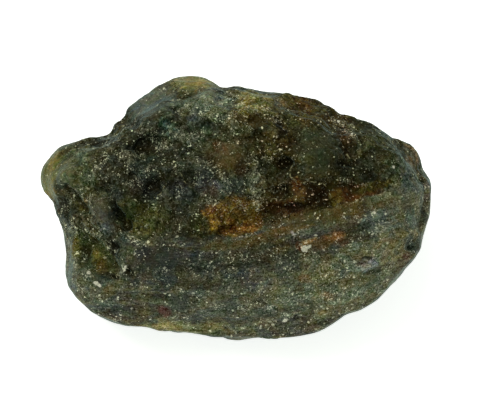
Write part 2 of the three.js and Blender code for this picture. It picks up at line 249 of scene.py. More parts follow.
# --- the material's noise ------------------------------------------------------------------------
STRETCH_ALONG = 0.4  # noise on the ribs is drawn out along them and squeezed across
STRETCH_ACROSS = 1.6
STREAK_PUSH = (3.0, 1.0, 1.0)  # how far streaks are moved in u, v and w, mm
WARPS = {  # how far noise moves a place, and the noise's size, mm
    "clouds": (2.4, 1.6),
    "patches": (0.8, 0.8),
    "crumbs": (0.3, 0.3),
    "seams": (0.6, 0.4),
    "blocks": (0.9, 0.7),
    "crust seams": (1.1, 0.9),
}
SHADES = {  # what the colour is multiplied by, where the thing is darkest and lightest
    "facets": (0.45, 1.6),
    "grain": (0.2, 1.9),
    "brushing": (0.45, 1.55),
    "rib grain": (0.1, 2.1),
    "seams": (0.35, 1.0),
    # the next two are painted shade in the relief's hollows and painted light on its rises
    "painted shade and light of the break's relief": (0.55, 1.22),
    "painted shade and light of the ribs' relief": (0.38, 1.32),
    "clouds": (0.76, 1.17),
    # painted shade, darker still in the deepest hollows
    "painted shade of deep hollows": (0.45, 1.0),
    "blocks": (0.6, 1.15),
}
SMOOTH_CALM = 0.6  # how much of the fine mottling is lost where the break is smooth
MUTED = 0.4  # how grey the fine mottling is
LESS_FRAY = 0.6  # how frayed small patches are next to the broad stains
CRUMBS = [  # pale crumbs: their cell's size, mm, and the share of cells with one, at least and most
    (0.24, 0.015, 0.15),
    (0.17, 0.05, 0.55),
    (0.11, 0.05, 0.75),
]
CRUMB_REACH = (0.31, 0.76)  # the smallest and the largest crumb's, in cells
CRUMB_STRENGTH = (0.2, 1.0)
CRUMB_JAG = 0.14  # how far noise bends a crumb's edge, mm
HUE_AROUND = 0.25  # how much of the hue around them crumbs take
THREAD_BREAKS = 1.2  # how strongly the grain breaks up the pale threads
THREAD_STRENGTH = 0.8


def smoothstep(value, low, high):
    share = np.clip((value - low) / (high - low), 0.0, 1.0)
    return share * share * (3 - 2 * share)


def bell(distance, width):
    """1 at no distance, falling away over the width."""
    return np.exp(-((distance / width) ** 2))


# --- noise ---------------------------------------------------------------------------------------
def lattice_number(cells, channel):
    """A repeatable number from 0 to 1 for each row of whole numbers."""
    key = (cells * np.array((73856093, 19349663, 83492791))).sum(-1) + channel * 40503
    key = (key ^ (key >> 13)) * 1274126177 & 0xFFFFFFFF
    key = (key ^ (key >> 15)) * 2246822519 & 0xFFFFFFFF
    return ((key ^ (key >> 16)) & 0xFFFF) / 65535.0


def value_noise(points, channel=0):
    """Smooth noise from -1 to 1, with one bump to a unit."""
    base = np.floor(points).astype(np.int64)
    share = points - base
    share = share * share * share * (share * (share * 6 - 15) + 10)
    total = np.zeros(len(points))
    for corner in np.ndindex(2, 2, 2):
        weight = np.prod(np.where(corner, share, 1 - share), axis=1)
        total += weight * lattice_number(base + corner, channel)
    return total * 2 - 1


def cell_noise(points, channel=0):
    """Scattered centres, one to a cell: distances to the two nearest, and the nearest's cell."""
    base = np.floor(points).astype(np.int64)
    nearest = np.full(len(points), 9.0)
    second = np.full(len(points), 9.0)
    cell = np.zeros_like(base)
    for step in np.ndindex(3, 3, 3):
        here = base + step - 1
        centre = np.stack([lattice_number(here, channel + axis) for axis in range(3)], axis=1)
        distance = np.linalg.norm(points - here - centre, axis=1)
        closer = distance < nearest
        second = np.where(closer, nearest, np.minimum(second, distance))
        nearest = np.where(closer, distance, nearest)
        cell[closer] = here[closer]
    return nearest, second, cell

def wander(points, name):
    """The noise that WANDERS names, mm."""
    far, size, channel = WANDERS[name]
    return far * value_noise(points / size, channel)


# --- the stone's mesh ----------------------------------------------------------------------------
def outline_origin(corners):
    """The outline plane's origin: the middle of the stone along u and v, at its own height."""
    flat = corners @ AXES.T
    u, v = (flat.min(0) + flat.max(0))[:2] / 2
    w = (REST_HEIGHT - v * math.cos(VIEW_ELEVATION)) / math.sin(VIEW_ELEVATION)
    return u * U_AXIS + v * V_AXIS + w * W_AXIS


def corners_of(mesh):
    corners = np.empty(len(mesh.vertices) * 3)
    mesh.vertices.foreach_get("co", corners)
    return corners.reshape(-1, 3)


def normals_of(mesh):
    normals = np.empty(len(mesh.vertices) * 3)
    mesh.vertices.foreach_get("normal", normals)
    return normals.reshape(-1, 3)


def subdivided(piece):
    """A new mesh: the piece's own, rounded by subdivision. Its first corners are the piece's."""
    evaluated = piece.evaluated_get(bpy.context.evaluated_depsgraph_get())
    return bpy.data.meshes.new_from_object(evaluated)


def refined_copy(node):
    """The CAD solid as a new object, with its facets welded and rounded by subdivision."""
    welded = node.data.copy()
    cage = bmesh.new()
    cage.from_mesh(welded)
    bmesh.ops.remove_doubles(cage, verts=cage.verts, dist=0.001 * MM)
    cage.to_mesh(welded)
    cage.free()
    piece = bpy.data.objects.new("tanzanite_stone", welded)
    bpy.context.scene.collection.objects.link(piece)
    subdivide = piece.modifiers.new("subdivide", "SUBSURF")
    subdivide.levels = SUBDIVISIONS
    solid_corners = corners_of(welded)
    cage_corners = solid_corners.copy()
    for _ in range(CAGE_FITS):  # subdivision shrinks the form, so the cage is swelled to match
        rounded = subdivided(piece)
        cage_corners += solid_corners - corners_of(rounded)[:len(solid_corners)]
        bpy.data.meshes.remove(rounded)
        welded.vertices.foreach_set("co", cage_corners.ravel())
        welded.update()
    fine = subdivided(piece)
    piece.modifiers.clear()
    piece.data = fine
    bpy.data.meshes.remove(welded)
    return piece


def as_seen(u, v, w):
    """Where a point shows in the outline plane, as what stands nearer looks larger."""
    nearer = 1 - w * MM / CAMERA_DISTANCE
    return AIM[0] + (u - AIM[0]) / nearer, AIM[1] + (v - AIM[1]) / nearer


def in_outline_plane(corners):
    """u, v and w of each corner, mm."""
    return ((corners - ORIGIN) @ AXES.T) / MM


def across_ribs(u, v):
    past = np.maximum(u - RIB_START, 0)
    return v - RIB_SLOPE * (np.hypot(past, RIB_BEND) - RIB_BEND)


def oval_radius(u, v, u0, v0, half_u, half_v, turn_deg):
    """0 in the middle of a turned oval, 1 at its edge."""
    turn = math.radians(turn_deg)
    du, dv = u - u0, v - v0
    along = du * math.cos(turn) + dv * math.sin(turn)
    across = dv * math.cos(turn) - du * math.sin(turn)
    return np.hypot(along / half_u, across / half_v)


def line_distance(u, v, line):
    distance = np.full(len(u), 1e3)
    for (au, av), (bu, bv) in zip(line, line[1:]):
        du, dv = bu - au, bv - av
        share = np.clip(((u - au) * du + (v - av) * dv) / (du * du + dv * dv), 0, 1)
        distance = np.minimum(distance, np.hypot(u - au - share * du, v - av - share * dv))
    return distance


def granular(points):
    """The broken crystal's grain: small blocks at odd heights with cracks between them."""
    far, warp_size, warp_channel = BLOCK_WARP
    warp = np.stack(
        [value_noise(points / warp_size, warp_channel + axis) for axis in range(3)], axis=1)
    warped = points + far * warp
    relief = wander(points, "swell")
    for size, step, crack, channel in BLOCKS:
        nearest, second, cell = cell_noise(warped / size, channel)
        gap = second - nearest
        relief += step * (lattice_number(cell, channel + 5) - 0.5) * smoothstep(gap, 0, BLOCK_SLOPE)
        relief -= crack * (1 - smoothstep(gap, 0, BLOCK_GAP))
    return relief


def ribbed(points):
    """Growth ribs and finer striations of the worn prism face."""
    u, v, w = points.T
    across = across_ribs(u, v) + wander(points, "ribs")
    relief = np.zeros(len(points))
    for height, length, spacing, depth, channel in RIBS:
        stretched = np.stack((u / length, across / spacing, w / depth), axis=1)
        relief += height * value_noise(stretched, channel)
    return relief + wander(points, "rib grain")


def pitted(points):
    """Small round pits, in about one cell of the grid out of five."""
    nearest, _, cell = cell_noise(points / PIT_CELL, PIT_CHANNEL)
    chosen = lattice_number(cell, PIT_CHANNEL + 6) < PIT_SHARE
    radius = PIT_RADIUS + PIT_RADIUS * lattice_number(cell, PIT_CHANNEL + 7)
    return -PIT_DEPTH * chosen * (1 - smoothstep(nearest, PIT_FLOOR * radius, radius))


def worn_masks(points, u, v, front):
    """Where the front is ribbed and where the break is worn smooth, both from 0 to 1."""
    lip = np.interp(u, *zip(*LIP)) + wander(points, "lip")
    grooved = front * (1 - smoothstep(v - lip, *LIP_EDGE))
    smooth = np.zeros(len(points))
    for *oval_place, share in SMOOTH_SPOTS:
        inside = front * (1 - smoothstep(oval_radius(u, v, *oval_place), *SMOOTH_EDGE))
        smooth = np.maximum(smooth, share * inside)
    return grooved, smooth


def relief_of(points, u, v, front, grooved, smooth):
    """How far the fine surface stands out from the solid's, mm."""
    rough = (1 - grooved) * (1 - smooth)
    pocket = front * (1 - smoothstep(oval_radius(u, v, *POCKET), *POCKET_EDGE))
    relief = granular(points) * (rough + POCKET_GRAIN * pocket)
    relief += ribbed(points) * (grooved + FLAT_RIBS)
    relief += pitted(points) * (SMOOTH_PITS + (1 - SMOOTH_PITS) * rough)
    bent = wander(points, "dimples")
    for *oval_place, depth in DIMPLES:
        radius = oval_radius(u, v, *oval_place) + bent
        relief -= depth * front * (1 - smoothstep(radius, *DIMPLE_EDGE))
    bent = wander(points, "cracks")
    for width, depth, line in CRACKS:
        relief -= depth * front * bell(np.abs(line_distance(u, v, line) + bent), width)
    return relief


def crust_mask(points, u, v, front):
    crust = np.zeros(len(points))
    bent = wander(points, "crusts")
    for width, density, line in CRUSTS:
        crust = np.maximum(crust, density * front * bell(line_distance(u + bent, v, line), width))
    return crust


def thread_mask(points, u, v, front):
    thread = np.zeros(len(points))
    bent = wander(points, "threads")
    for line in THREADS:
        thread = np.maximum(thread, front * bell(line_distance(u + bent, v, line), THREAD_WIDTH))
    return thread


def carve(piece):
    """Moves the fine mesh along its normals by the relief, and keeps the masks as attributes."""
    mesh = piece.data
    corners = corners_of(mesh)
    points = in_outline_plane(corners)
    u, v = as_seen(*points.T)
    facing = normals_of(mesh) @ W_AXIS
    front = smoothstep(facing, *FRONT)
    grooved, smooth = worn_masks(points, u, v, front)
    relief = relief_of(points, u, v, front, grooved, smooth)
    relief *= 1 - EDGE_CALM * bell(facing, EDGE_WIDTH)
    corners += normals_of(mesh) * (relief * MM)[:, None]
    corners[:, 2] = np.maximum(corners[:, 2], 0)
    mesh.vertices.foreach_set("co", corners.ravel())
    mesh.polygons.foreach_set("use_smooth", np.ones(len(mesh.polygons), bool))
    mesh.update()
    masks = {
        "grooved": grooved,
        "smooth": smooth,
        # the relief also gives the material its painted shade in hollows and painted light on rises
        "relief": relief,
        "across": across_ribs(u, v),
        "crust": crust_mask(points, u, v, front),
        "thread": thread_mask(points, u, v, front),
    }
    for name, values in masks.items():
        mesh.attributes.new(name, "FLOAT", "POINT").data.foreach_set("value", values)


# --- shader building -----------------------------------------------------------------------------
def linear(colour):
    """sRGB 0 to 255 as the linear colour that a node takes."""
    shares = [c / 255 for c in colour]
    return tuple(s / 12.92 if s <= 0.04045 else ((s + 0.055) / 1.055) ** 2.4 for s in shares) + (1,)


NOWHERE = (0, 0, 0)
MIDDLE = 0.5  # what noise lies about


class Graph:
    """A node tree with short calls for the nodes that the stone uses."""

    def __init__(self, tree):
        self.tree = tree
        tree.nodes.clear()

    def add(self, kind, settings=None, inputs=None):
        node = self.tree.nodes.new("ShaderNode" + kind)
        for name, value in (settings or {}).items():
            setattr(node, name, value)
        for name, value in (inputs or {}).items():
            self.put(node.inputs[name], value)
        return node

    def put(self, socket, value):
        if isinstance(value, bpy.types.NodeSocket):
            self.tree.links.new(value, socket)
        else:
            socket.default_value = value

    def math(self, operation, a, b):
        return self.add("Math", {"operation": operation}, {0: a, 1: b}).outputs[0]

    def times(self, a, b):
        return self.math("MULTIPLY", a, b)

    def less(self, a):
        """What is missing from a to 1."""
        return self.math("SUBTRACT", 1.0, a)

    def vector(self, operation, a, b=NOWHERE):
        return self.add("VectorMath", {"operation": operation}, {0: a, 1: b}).outputs[0]

    def scaled(self, a, factor):
        return self.add("VectorMath", {"operation": "SCALE"}, {0: a, "Scale": factor}).outputs[0]

    def blend(self, factor, a, b):
        """A number between a and b."""
        return self.add("Mix", {"data_type": "FLOAT"}, {0: factor, 2: a, 3: b}).outputs[0]

    def ramp(self, value, low, high, to_low=0.0, to_high=1.0):
        """A number that goes smoothly from to_low to to_high while value goes from low to high."""
        node = self.add("MapRange", {"interpolation_type": "SMOOTHSTEP"}, {
            "Value": value, "From Min": low, "From Max": high, "To Min": to_low, "To Max": to_high})
        return node.outputs["Result"]

    def mix(self, factor, a, b):
        """A colour between a and b."""
        node = self.add("Mix", {"data_type": "RGBA"})
        self.put(node.inputs[0], factor)
        self.put(node.inputs[6], a)
        self.put(node.inputs[7], b)
        return node.outputs[2]

    def shade(self, colour):
        """The colour's grey."""
        return self.add("RGBToBW", None, {0: colour}).outputs[0]

    def parts(self, colour):
        """The colour's three numbers."""
        return self.add("SeparateColor", None, {0: colour}).outputs

    def attribute(self, name):
        return self.add("Attribute", {"attribute_name": name}).outputs["Fac"]

    def noise(self, where, size, detail=3.0, roughness=0.55, output="Fac"):
        """Noise with one bump to size millimetres."""
        node = self.add("TexNoise", None, {
            "Vector": where, "Scale": 1 / size, "Detail": detail, "Roughness": roughness})
        return node.outputs[output]

    def ripple(self, where, size, detail, roughness, amount):
        """Noise about 0."""
        noise = self.noise(where, size, detail, roughness)
        return self.times(self.math("SUBTRACT", noise, MIDDLE), amount)

    def push(self, where, size, detail=4.0):
        """A vector of noise about 0."""
        return self.vector("SUBTRACT", self.noise(where, size, detail, 0.6, "Color"), (MIDDLE,) * 3)

    def cells(self, where, size, **settings):
        """What is told of scattered cells about size millimetres wide."""
        return self.add("TexVoronoi", settings, {"Vector": where, "Scale": 1 / size}).outputs

    def placed(self, where, centre, half_sizes, turn_deg):
        """where, moved so that an oval patch becomes the unit ball."""
        node = self.add("Mapping", {"vector_type": "TEXTURE"}, {
            "Vector": where, "Location": centre, "Scale": half_sizes,
            "Rotation": (0, 0, math.radians(turn_deg))})
        return node.outputs[0]


# --- stains and patches, with some painted shade, a painted shadow and a painted sheen: name, u, v, half sizes, turn, colour, strength ---
CLOUDS = [  # broad stains, and the painted shade of a cleft
    ("steel break", -4.5, 1.5, 4.5, 2.6, 0, (46, 52, 48), 0.6),
    ("brown top", 3.4, 5.6, 3.6, 2.8, -10, (60, 54, 12), 0.75),
    ("charcoal break", -4.6, 3.4, 5.2, 4.2, 0, (56, 62, 50), 0.7),
    ("black by the knob", -8.3, 3.2, 2.6, 2.9, 20, (36, 41, 33), 0.75),
    ("grey of the hump", -3.0, 7.4, 2.4, 0.9, -10, (86, 96, 74), 0.7),
    ("olive saddle", 1.6, 8.0, 2.3, 1.1, -8, (94, 94, 44), 0.8),
    ("olive shoulder", 5.4, 7.4, 2.6, 1.3, -25, (60, 50, 0), 0.85),
    ("brown shoulder", 8.3, 6.0, 2.4, 1.0, -28, (48, 42, 0), 0.8),
    ("grey rim", 10.8, 5.0, 2.2, 0.9, -32, (48, 54, 28), 0.8),
    ("knob", -12.3, 2.9, 1.3, 1.6, 0, (84, 92, 66), 0.8),
    ("moss", -7.0, -0.9, 2.0, 1.2, -40, (60, 66, 24), 0.7),
    ("pocket", -10.6, -3.9, 2.4, 1.6, -34, (68, 76, 30), 0.8),
    ("left toe", -10.8, -6.3, 2.0, 1.2, -35, (66, 75, 60), 0.7),
    ("violet left", -5.6, -4.3, 3.6, 1.7, 0, (42, 48, 42), 0.8),
    ("steel middle", 0.6, -4.4, 4.2, 1.2, 4, (60, 64, 52), 0.7),
    ("belly", 0.4, -7.0, 6.0, 2.2, 4, (64, 69, 54), 0.7),
    ("right belly", 8.4, -5.6, 4.4, 2.4, 18, (86, 92, 66), 0.7),
    ("right end", 13.2, 0.4, 1.6, 3.4, 0, (84, 92, 72), 0.8),
    ("red right end", 13.5, 3.9, 0.7, 0.9, 0, (112, 98, 76), 0.6),
    ("brown left of the boss", 4.2, 4.4, 0.9, 1.7, 0, (50, 42, 7), 0.8),
    ("brown right of the boss", 8.2, 4.6, 1.1, 1.4, -10, (30, 24, 0), 0.8),
    ("dark under the boss", 7.6, 2.7, 2.6, 0.55, 8, (6, 8, 0), 0.95),
    ("violet shoulder", 3.5, 8.0, 0.8, 0.6, -10, (84, 72, 48), 0.8),
    ("ochre shoulder", 7.3, 6.9, 0.9, 0.5, -25, (142, 127, 33), 0.8),
    ("violet right end", 13.2, 1.8, 0.9, 1.4, 0, (74, 78, 72), 0.7),
    ("brown trough end", 2.0, 1.6, 1.2, 1.4, 0, (58, 62, 34), 0.7),
    ("pale crust", 1.6, 1.2, 0.45, 1.7, 8, (130, 134, 104), 0.6),
    ("ochre saddle", 1.4, 8.3, 1.3, 0.7, -10, (124, 118, 66), 0.8),
    ("pale saddle", -1.4, 8.3, 1.2, 0.8, 0, (110, 124, 112), 0.8),
    ("dark ochre", 5.2, 7.7, 0.6, 0.6, 0, (62, 52, 0), 0.8),
    # painted shade: the darkness of a cleft, painted on
    ("painted shade of a cleft", 3.3, 6.1, 0.4, 0.8, 10, (10, 8, 2), 0.95),
    ("red-brown by the boss", 4.6, 4.7, 0.5, 0.6, 0, (26, 10, 0), 0.85),
    ("steel ledge", -4.4, 5.6, 1.1, 0.5, -15, (104, 124, 110), 0.7),
    ("brown neck", -8.6, 5.6, 0.8, 0.8, 0, (56, 60, 40), 0.7),
    ("pale belly", 2.4, -5.9, 1.0, 0.6, 0, (92, 98, 84), 0.6),
]
GLASSY = [  # where the break is smooth, with painted shade in the pocket's dimples and a painted sheen on the hump
    # painted sheen: the grey of light reflected on the smooth hump
    ("painted sheen of the hump", -6.6, 8.1, 1.9, 1.3, 40, (74, 86, 82), 0.7),
    ("olive hump", -3.1, 9.6, 1.9, 1.1, -12, (124, 116, 62), 0.85),
    ("knob rim", -14.5, 2.5, 1.1, 2.3, -12, (94, 88, 22), 0.95),
    ("pocket's olive", -12.35, -3.2, 0.55, 0.75, 15, (70, 64, 10), 0.9),
    ("pocket's amber", -10.6, -4.15, 0.45, 0.65, 25, (116, 104, 30), 0.9),
    ("pocket's lower amber", -10.25, -4.75, 0.4, 0.4, 0, (70, 64, 10), 0.9),
    # painted shade: these three darken the pocket's dimples, where shade falls
    ("painted shade in the pocket", -11.4, -3.5, 0.35, 0.6, -20, (53, 59, 20), 0.8),
    ("painted shade on the pocket's lip", -9.4, -5.4, 0.75, 0.18, -8, (12, 14, 2), 0.9),
    ("painted shade in the hole by the pocket", -8.2, -5.0, 0.35, 0.35, 0, (6, 10, 0), 0.9),
    ("smooth boss", 6.2, 4.2, 1.6, 2.0, 10, (44, 50, 30), 0.85),
    ("brown boss", -0.5, 3.9, 1.6, 1.5, 0, (76, 70, 40), 0.85),
    ("red of the boss", -1.3, 4.5, 0.5, 0.4, 0, (78, 60, 34), 0.7),
    ("foot of the boss", 0.5, 3.0, 0.45, 0.7, 0, (32, 24, 14), 0.8),
    ("olive boss", 1.8, 6.5, 0.8, 0.8, 0, (54, 48, 18), 0.85),
    ("grey lens", -10.2, -0.4, 0.8, 1.4, 28, (74, 76, 70), 0.75),
    ("foot of the grey lens", -9.8, -1.6, 0.5, 0.7, 28, (84, 86, 80), 0.8),
]
TROUGH = [  # the long trough above the lip
    ("trough", 4.6, 0.3, 5.4, 1.6, 11, (50, 42, 0), 0.9),
    ("orange", -0.3, -0.9, 2.1, 1.4, 8, (104, 86, 26), 0.9),
    ("orange spot", -1.7, -0.6, 0.8, 0.5, -30, (84, 58, 0), 0.9),
    ("bright orange", 0.2, -1.7, 2.0, 0.4, 6, (88, 64, 0), 0.9),
    ("dark trough", 3.9, -0.1, 1.6, 0.55, 6, (66, 44, 0), 0.9),
    ("amber block", 6.2, 0.9, 1.3, 0.9, 0, (16, 5, 0), 0.9),
    ("dark of the block", 6.3, 0.5, 0.8, 0.5, 0, (30, 20, 0), 0.6),
    ("amber right", 9.2, 1.0, 2.0, 0.6, 6, (66, 42, 0), 0.9),
    ("violet hollow", 4.5, -0.1, 0.7, 0.4, 0, (34, 18, 14), 0.85),
    ("amber tail", 10.5, 1.5, 1.6, 0.35, 16, (68, 66, 14), 0.8),
    ("amber step", 4.9, 1.2, 0.45, 0.8, 12, (80, 56, 0), 0.9),
    ("amber edge", 7.7, 0.6, 0.5, 0.6, -20, (98, 86, 18), 0.6),
]
STREAKS = [  # stains drawn out along the ribs
    ("lip", 8.0, -0.35, 4.8, 0.6, 13, (70, 60, 22), 0.85),
    ("orange below the lip", 2.6, -2.2, 2.4, 0.4, 14, (94, 74, 32), 0.7),
    ("left lip", 0.6, -2.9, 3.6, 0.4, 6, (66, 58, 22), 0.7),
    ("furrow", 3.2, -3.9, 4.6, 0.4, 8, (50, 48, 32), 0.6),
    ("rust tail", 9.6, -2.2, 1.2, 0.4, 14, (54, 50, 24), 0.7),
    ("olive right", 12.0, -3.0, 2.4, 0.8, 22, (110, 106, 76), 0.7),
    ("foot band", -3.6, -9.3, 3.6, 0.5, -6, (110, 110, 68), 0.85),
    ("brown under the lip", 3.6, -3.3, 1.6, 0.35, 10, (70, 64, 30), 0.8),
    ("pale by the slab", 11.6, -1.1, 1.9, 0.8, 10, (104, 112, 96), 0.7),
]
SPOTS = [  # small things, a few of them painted shade in hollows and a painted shadow
    ("rust", 7.5, -2.45, 0.75, 0.45, 10, (122, 88, 36), 0.85),
    ("brown of the rust", 6.6, -2.9, 0.8, 0.35, 10, (84, 72, 44), 0.7),
    ("brown past the rust", 8.4, -2.8, 0.6, 0.35, 0, (60, 44, 22), 0.7),
    ("teal past the rust", 9.1, -3.0, 0.6, 0.3, 10, (74, 88, 84), 0.7),
    ("over the fleck", 5.6, -2.75, 0.6, 0.2, 24, (142, 113, 64), 0.8),
    ("rust by the fleck", 4.95, -3.0, 0.25, 0.3, 0, (68, 32, 6), 0.8),
    # painted shade in the dimple by the fleck
    ("painted shade by the fleck", 4.45, -2.7, 0.25, 0.55, 0, (70, 68, 53), 0.8),
    ("lilac fleck", 4.5, -2.3, 0.16, 0.3, 10, (170, 156, 140), 0.9),
    ("silver flake", 10.2, -4.55, 0.75, 0.42, 15, (112, 114, 118), 0.85),
    # painted shadow over the silver flake
    ("painted shadow over the silver", 10.0, -4.0, 0.5, 0.14, 15, (20, 22, 16), 0.9),
    ("grey flakes", 8.4, -5.1, 0.5, 0.35, 30, (60, 76, 76), 0.7),
    # painted shade in the pit
    ("pit", 13.35, -2.8, 0.5, 0.6, 0, (46, 56, 52), 0.75),
    ("red under the pit", 13.15, -3.85, 0.4, 0.35, 0, (54, 33, 30), 0.8),
    ("low rust", 7.3, -6.9, 0.5, 0.35, 12, (84, 62, 16), 0.7),
    ("rust smudge", 5.4, -5.6, 0.5, 0.35, 0, (98, 76, 42), 0.6),
    ("ochre by the foot", 6.6, -8.3, 0.45, 0.3, 0, (106, 104, 64), 0.7),
    ("violet belly", 1.2, -5.5, 0.9, 0.9, 0, (68, 69, 70), 0.7),
    ("blue belly", -0.4, -5.2, 1.1, 0.4, 0, (40, 50, 52), 0.7),
    ("grey flake", 2.7, -7.8, 0.3, 0.3, 0, (86, 93, 75), 0.8),
    ("dark by the grey flake", 1.9, -7.2, 0.7, 0.3, 20, (44, 50, 38), 0.6),
    ("red spot", -5.5, -8.1, 0.45, 0.45, 0, (86, 50, 42), 0.85),
    ("ochre fleck", -9.7, -6.6, 0.35, 0.4, 0, (74, 70, 36), 0.7),
    ("blue of the left", -5.6, -5.7, 0.5, 0.35, 0, (9, 21, 20), 0.6),
    ("lilac left", -4.2, -3.6, 0.9, 0.35, 0, (58, 66, 74), 0.6),
    ("violet furrow", -7.0, -3.6, 0.9, 0.6, 0, (36, 34, 32), 0.6),
    ("moss by the violet", -8.2, -3.5, 0.5, 0.4, 0, (54, 66, 40), 0.7),
    # painted shade in the dimple by the pocket
    ("painted shade in the dimple by the pocket", -9.3, -3.3, 0.45, 0.9, 30, (8, 8, 4), 0.9),
    ("dark under the moss", -3.9, -2.0, 0.9, 0.3, 0, (22, 26, 16), 0.7),
    ("moss light", -7.0, -1.6, 0.6, 0.5, -40, (46, 50, 4), 0.7),
    ("teal by the moss", -8.6, -2.3, 0.5, 0.5, 0, (46, 62, 54), 0.6),
    ("violet break", -2.1, 1.5, 0.9, 0.7, 0, (66, 62, 60), 0.7),
    ("blue break", -4.4, 1.6, 0.8, 0.6, 0, (17, 22, 36), 0.6),
    ("dark violet", -7.1, 1.4, 1.0, 0.8, 0, (36, 34, 34), 0.6),
    ("violet of the ledge", -3.3, 6.9, 0.6, 0.4, 20, (62, 64, 66), 0.7),
    ("teal hollow", -1.2, 6.9, 0.55, 0.35, 0, (44, 64, 48), 0.8),
    ("second teal hollow", -2.2, 6.1, 0.45, 0.5, -20, (64, 86, 72), 0.8),
    ("third teal hollow", -5.5, 6.2, 0.4, 0.5, 20, (80, 112, 105), 0.8),
    ("grey ledge", 2.4, 6.0, 0.7, 0.25, 0, (54, 61, 49), 0.7),
    ("moss at the orange", -3.0, -1.0, 0.5, 0.7, 0, (34, 41, 0), 0.7),
    ("orange tip", -2.1, -0.5, 0.5, 0.25, -20, (112, 84, 0), 0.85),
    ("orange light", -1.5, -1.4, 0.4, 0.35, 0, (184, 148, 58), 0.8),
    ("orange streak", 0.7, -1.85, 1.3, 0.22, 5, (132, 88, 16), 0.85),
    ("brown of the orange", -0.4, -0.7, 0.7, 0.4, 0, (112, 80, 22), 0.7),
    ("brown at the boss", 8.3, 5.5, 0.6, 0.7, 0, (44, 30, 0), 0.75),
    ("dark at the boss", 8.6, 4.3, 0.6, 0.4, 0, (26, 20, 4), 0.75),
    ("dark gold", 5.3, 7.8, 0.5, 0.4, 0, (70, 54, 0), 0.7),
]
FLECKS_AND_PAINTED_GLINTS = [  # the white fleck and painted glints, white spots where flakes catch the light: name, u, v, half sizes, turn
    ("white fleck", 5.25, -3.3, 0.26, 0.23, 20),
    ("side of the white fleck", 5.55, -3.15, 0.22, 0.15, 30),
    ("white spark", 3.85, -8.8, 0.24, 0.12, 20),
    ("pocket spark", -10.65, -6.0, 0.34, 0.14, -30),
    ("left spark", -11.35, -5.05, 0.18, 0.12, -10),
    ("hooked spark", -8.45, -4.85, 0.1, 0.2, -20),
    ("lip spark by the slab", 10.65, -0.45, 0.11, 0.09, 0),
    ("spark on the right end", 12.2, 3.0, 0.12, 0.1, 20),
    ("top spark", 7.9, 6.55, 0.11, 0.08, -20),
    ("shoulder spark", 9.0, 5.6, 0.12, 0.07, 0),
]
PATCH_DEPTH = 4.0  # how far a patch reaches into and out of the surface at most, mm
PATCH_EDGE = 0.9  # how soft a patch's edge is, as a share of its radius
TROUGH_EDGE = 0.7
OVAL_REACH = 3.0  # how far from a patch its radius is still told, in its own radii


def on_surface(u, v):
    """The point of the front surface that shows at a place in the outline plane."""
    behind = np.where(FACING > 0, 0, 100)
    seen_u, seen_v = as_seen(*POINTS.T)
    return POINTS[np.argmin(np.hypot(seen_u - u, seen_v - v) + behind)]


def oval(graph, where, u, v, half_u, half_v, turn):
    """0 in the middle of an oval patch of the front surface, 1 at its edge, OVAL_REACH far off."""
    depth = min(2.5 * min(half_u, half_v) + 0.5, PATCH_DEPTH)
    ball = graph.placed(where, on_surface(u, v),
                        [OVAL_REACH * half for half in (half_u, half_v, depth)], turn)
    near = graph.add("TexGradient", {"gradient_type": "SPHERICAL"}, {"Vector": ball}).outputs["Fac"]
    return graph.times(graph.less(near), OVAL_REACH)


def paint(graph, colour, where, patches, fray, soft=PATCH_EDGE, within=1.0):
    """Lays each oval patch over the colour. Its edge takes soft of its radius, and fray, a noise
    about 0, eats into it. within is where patches may lie, from 0 to 1."""
    for _, u, v, half_u, half_v, turn, tint, strength in patches:
        frayed = graph.math("ADD", oval(graph, where, u, v, half_u, half_v, turn), fray)
        mask = graph.ramp(frayed, 1.0 + soft / 2, 1.0 - soft / 2, 0.0, strength)
        colour = graph.mix(graph.times(mask, within), colour, linear(tint))
    return colour


class Surface:
    """Places on the stone, some of them pushed about by noise, and what several layers share."""

    def __init__(self, graph):
        self.graph = graph
        # Object space in metres becomes the outline plane in millimetres.
        self.place = graph.add("Mapping", {"vector_type": "POINT"}, {
            "Vector": graph.add("TexCoord").outputs["Object"],
            "Rotation": (VIEW_ELEVATION - math.pi / 2, 0, 0),
            "Scale": (1 / MM,) * 3, "Location": tuple(-(AXES @ ORIGIN) / MM)}).outputs[0]
        self.u = graph.add("SeparateXYZ", None, {0: self.place}).outputs[0]
        self.along_ribs = graph.add("CombineXYZ", None, {
            0: graph.times(self.u, STRETCH_ALONG),
            1: graph.times(graph.attribute("across"), STRETCH_ACROSS)}).outputs[0]
        self.grooved = graph.attribute("grooved")
        self.relief = graph.attribute("relief")
        self.smooth = graph.attribute("smooth")
        self.worn = graph.math("MAXIMUM", self.grooved, self.smooth)
        self.cloudy = self.warped("clouds")
        self.nudged = self.warped("patches")
        self.crumbled = self.warped("crumbs")
        drawn_out = graph.vector("MULTIPLY", graph.push(self.along_ribs, size=1.0), STREAK_PUSH)
        self.streaky = graph.vector("ADD", self.place, drawn_out)
        self.middle = graph.noise(self.cloudy, size=1.6, roughness=0.65)
        self.grain = graph.noise(self.place, size=0.12, roughness=0.75)
        self.facets = graph.parts(graph.cells(self.crumbled, size=0.17)["Color"])

    def warped(self, name):
        """The place, moved about as WARPS says."""
        amount, size = WARPS[name]
        push = self.graph.scaled(self.graph.push(self.place, size), amount)
        return self.graph.vector("ADD", self.place, push)


